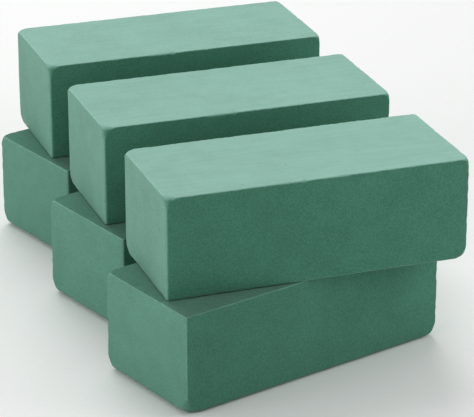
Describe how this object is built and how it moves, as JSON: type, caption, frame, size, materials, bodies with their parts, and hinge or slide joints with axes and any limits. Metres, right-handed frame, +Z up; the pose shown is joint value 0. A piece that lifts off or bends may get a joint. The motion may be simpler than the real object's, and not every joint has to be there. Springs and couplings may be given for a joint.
{
  "type": "floral foam brick",
  "caption": "Dry floral foam bricks for holding cut flower stems, stacked in pairs with each upper brick turned on the lower one.",
  "frame": {"origin": "centre of the middle lower brick's underside, at the level that the set stands on", "axes": "+X along the length of the lower bricks to the right, +Y from the front stack to the back stack, +Z up"},
  "size_m": [0.3363, 0.4413, 0.156],
  "materials": {
    "floral_foam": "matte, dry open-cell phenolic foam with a fine powdery grain"
  },
  "bodies": {
    "middle_lower_brick": {"middle_lower_brick": "floral_foam"},
    "middle_upper_brick": {"middle_upper_brick": "floral_foam"},
    "front_lower_brick": {"front_lower_brick": "floral_foam"},
    "front_upper_brick": {"front_upper_brick": "floral_foam"},
    "back_lower_brick": {"back_lower_brick": "floral_foam"},
    "back_upper_brick": {"back_upper_brick": "floral_foam"}
  },
  "joints": [
    {"name": "front_stack_slide", "type": "slide", "parent": "middle_lower_brick", "child": "front_lower_brick", "axis": [0, -1, 0], "range_m": [-0.036, 0.15]},
    {"name": "back_stack_slide", "type": "slide", "parent": "middle_lower_brick", "child": "back_lower_brick", "axis": [0, 1, 0], "range_m": [-0.036, 0.15]},
    {"name": "front_upper_lift", "type": "slide", "parent": "front_lower_brick", "child": "front_upper_brick", "axis": [0, 0, 1], "range_m": [0, 0.12]},
    {"name": "middle_upper_lift", "type": "slide", "parent": "middle_lower_brick", "child": "middle_upper_brick", "axis": [0, 0, 1], "range_m": [0, 0.12]},
    {"name": "back_upper_lift", "type": "slide", "parent": "back_lower_brick", "child": "back_upper_brick", "axis": [0, 0, 1], "range_m": [0, 0.12]}
  ]
}
